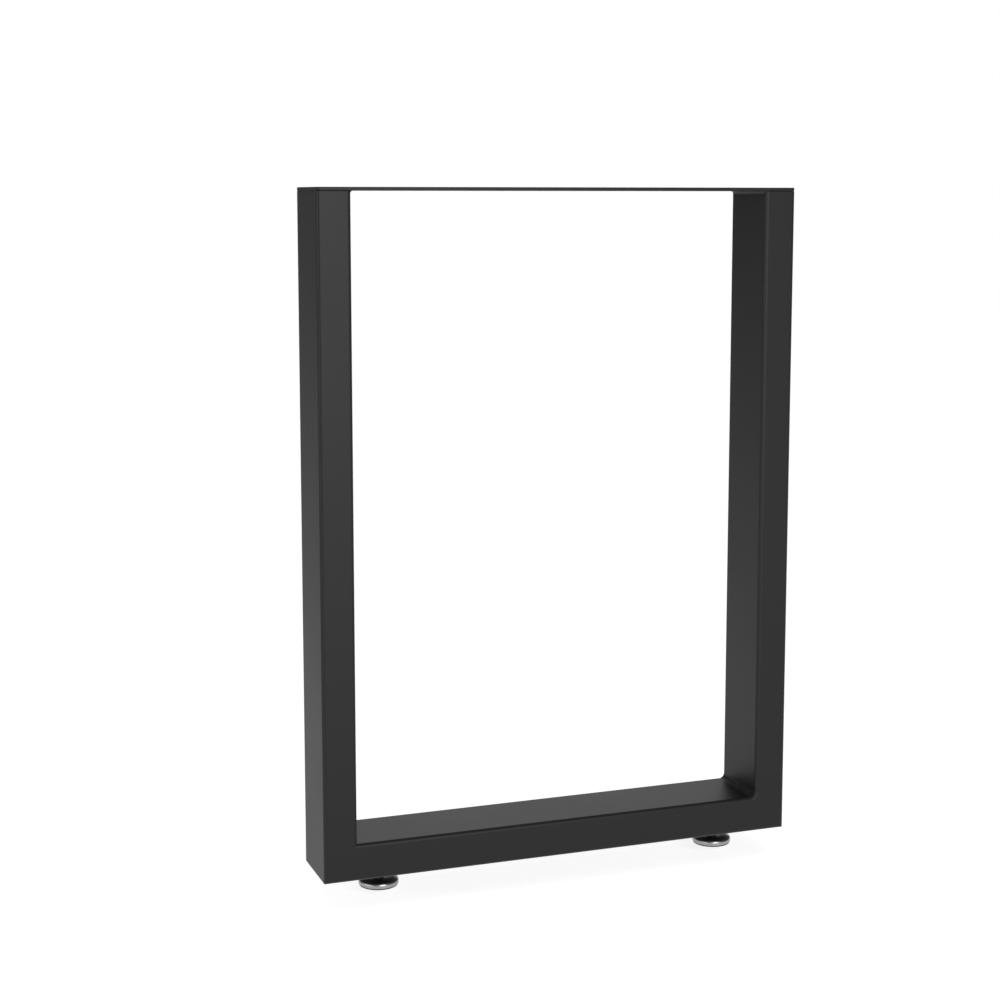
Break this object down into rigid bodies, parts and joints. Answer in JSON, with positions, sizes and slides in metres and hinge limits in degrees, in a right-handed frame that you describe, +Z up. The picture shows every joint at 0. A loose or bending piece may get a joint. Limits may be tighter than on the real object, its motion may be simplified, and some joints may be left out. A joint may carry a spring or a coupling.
{
  "type": "bench leg",
  "caption": "Black steel bench leg: a mitred U of rectangular tube under a flat screw-on top plate, standing on screw-adjustable levelling feet.",
  "frame": {"origin": "on the floor, at mid-width and mid-depth between the two foot pads", "axes": "+X along the width, left foot to right foot; +Y from the front face to the back face; +Z up to the top plate"},
  "size_m": [0.298, 0.045, 0.4115],
  "materials": {
    "powder_coat": "satin black powder coat with a fine sand texture",
    "coated_weld": "powder coat over a dressed weld bead",
    "black_zinc": "black zinc plate",
    "bright_plating": "bright nickel plate",
    "black_pad": "moulded, matte"
  },
  "bodies": {
    "frame": {"top_plate": "powder_coat", "left_upright": "powder_coat", "right_upright": "powder_coat", "bottom_rail": "powder_coat", "weld_lower_left": "coated_weld", "weld_lower_right": "coated_weld", "weld_upper_left": "coated_weld", "weld_upper_right": "coated_weld", "left_rivet_nut": "black_zinc", "right_rivet_nut": "black_zinc"},
    "left_base": {"left_foot_cup": "bright_plating", "left_foot_pad": "black_pad"},
    "left_screw": {"left_foot_stud": "black_zinc"},
    "right_base": {"right_foot_cup": "bright_plating", "right_foot_pad": "black_pad"},
    "right_screw": {"right_foot_stud": "black_zinc"}
  },
  "joints": [
    {"name": "left_foot_travel", "type": "slide", "parent": "frame", "child": "left_base", "axis": [0, 0, 1], "range_m": [-0.006, 0.0048]},
    {"name": "left_foot_turn", "type": "hinge", "parent": "left_base", "child": "left_screw", "pos_m": [-0.11, 0, 0.0115], "axis": [0, 0, 1], "range_deg": [-1728, 1382.4]},
    {"name": "right_foot_travel", "type": "slide", "parent": "frame", "child": "right_base", "axis": [0, 0, 1], "range_m": [-0.006, 0.0048]},
    {"name": "right_foot_turn", "type": "hinge", "parent": "right_base", "child": "right_screw", "pos_m": [0.11, 0, 0.0115], "axis": [0, 0, 1], "range_deg": [-1728, 1382.4]}
  ],
  "couplings": [
    {"joint": "left_foot_turn", "follows": "left_foot_travel", "rad_per_m": 5026.5},
    {"joint": "right_foot_turn", "follows": "right_foot_travel", "rad_per_m": 5026.5}
  ]
}
